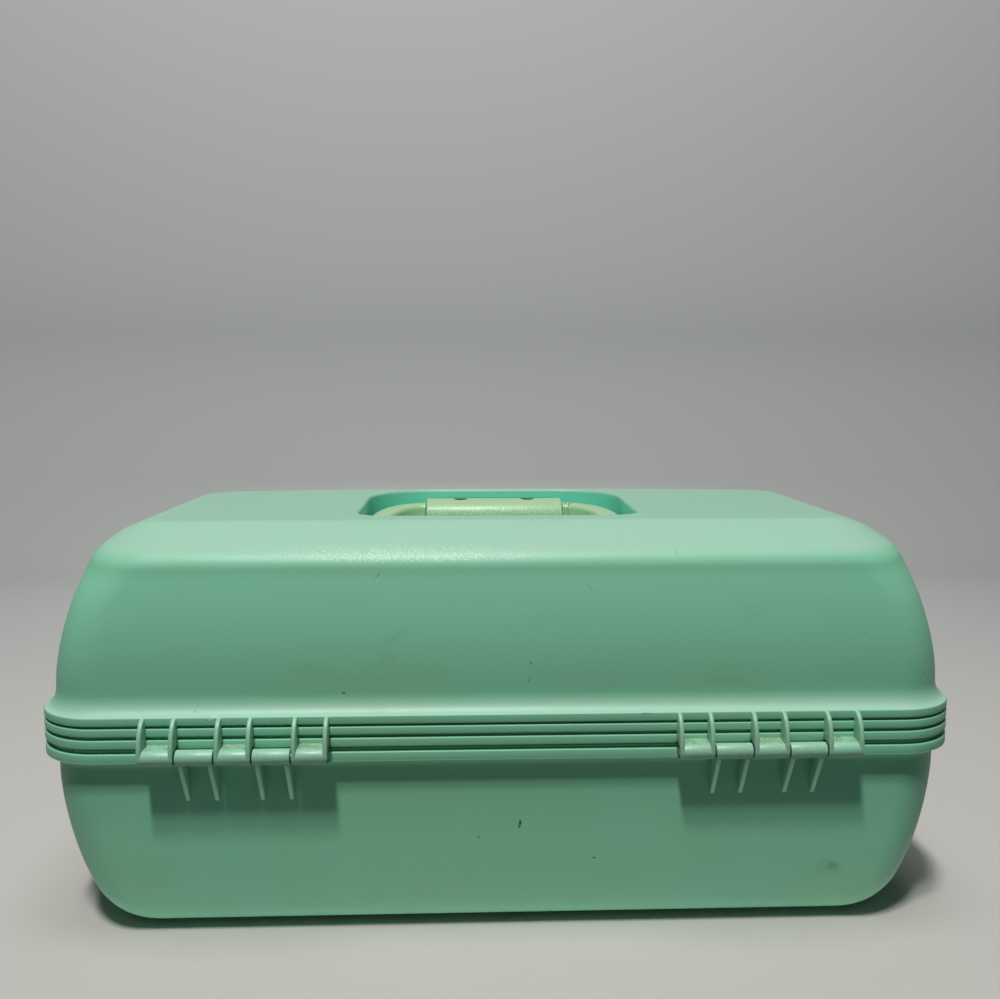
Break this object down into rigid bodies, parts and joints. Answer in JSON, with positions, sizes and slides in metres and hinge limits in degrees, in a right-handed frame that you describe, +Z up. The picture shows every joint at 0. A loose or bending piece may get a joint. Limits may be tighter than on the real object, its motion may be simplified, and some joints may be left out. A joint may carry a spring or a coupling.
{
  "type": "cosmetic case",
  "caption": "Moulded rounded case with a banded rim, a hinged lid on finned knuckles, a folding top handle, a front latch, a lid mirror and a lift-out cantilever tray.",
  "frame": {"origin": "centre of the bounding box at the bottom of the four feet", "axes": "+Z up, +X along the long side, hinges towards +Y, latch towards -Y"},
  "size_m": [0.342, 0.1948, 0.1516],
  "materials": {
    "mint_plastic": "fine moulded texture",
    "pale_plastic": "smooth satin",
    "steel": "dull, a little rusty",
    "mirror": "silvered glass"
  },
  "bodies": {
    "base": {"base_shell": "mint_plastic", "hinge_pin_left": "steel", "hinge_pin_right": "steel", "arm_base_pin_left": "steel", "arm_base_pin_right": "steel"},
    "lid": {"lid_shell": "mint_plastic", "latch_pin": "steel", "handle_pin_left": "steel", "handle_pin_right": "steel", "mirror_frame": "mint_plastic", "mirror_glass": "mirror", "mirror_screw_1": "steel", "mirror_screw_2": "steel", "mirror_screw_3": "steel", "mirror_screw_4": "steel", "lid_tray_pin_left": "steel", "lid_tray_pin_right": "steel"},
    "handle": {"handle_bow": "pale_plastic", "grip_upper": "pale_plastic", "grip_lower": "pale_plastic", "grip_screw_left": "steel", "grip_screw_right": "steel"},
    "latch": {"front_latch": "mint_plastic"},
    "tray": {"tray": "pale_plastic", "arm_tray_pin_left": "steel", "arm_tray_pin_right": "steel"},
    "arm_left": {"tray_arm_left": "mint_plastic"},
    "arm_right": {"tray_arm_right": "mint_plastic"}
  },
  "joints": [
    {"name": "lid_hinge", "type": "hinge", "parent": "base", "child": "lid", "pos_m": [0, 0.0946, 0.0731], "axis": [-1, 0, 0], "range_deg": [0, 105]},
    {"name": "handle_fold", "type": "hinge", "parent": "lid", "child": "handle", "pos_m": [0, 0.014, 0.14], "axis": [-1, 0, 0], "range_deg": [0, 90]},
    {"name": "latch_flip", "type": "hinge", "parent": "lid", "child": "latch", "pos_m": [0, -0.0942, 0.0825], "axis": [-1, 0, 0], "range_deg": [0, 100]},
    {"name": "tray_link", "type": "hinge", "parent": "lid", "child": "tray", "pos_m": [0, 0.0466, 0.0791], "axis": [-1, 0, 0], "range_deg": [-105, 0]},
    {"name": "arm_left_swing", "type": "hinge", "parent": "base", "child": "arm_left", "pos_m": [0, 0, 0.058], "axis": [-1, 0, 0], "range_deg": [0, 105]},
    {"name": "arm_right_swing", "type": "hinge", "parent": "base", "child": "arm_right", "pos_m": [0, 0, 0.058], "axis": [-1, 0, 0], "range_deg": [0, 105]}
  ],
  "couplings": [
    {"joint": "tray_link", "follows": "lid_hinge", "ratio": -1},
    {"joint": "arm_left_swing", "follows": "lid_hinge", "ratio": 1},
    {"joint": "arm_right_swing", "follows": "lid_hinge", "ratio": 1}
  ]
}
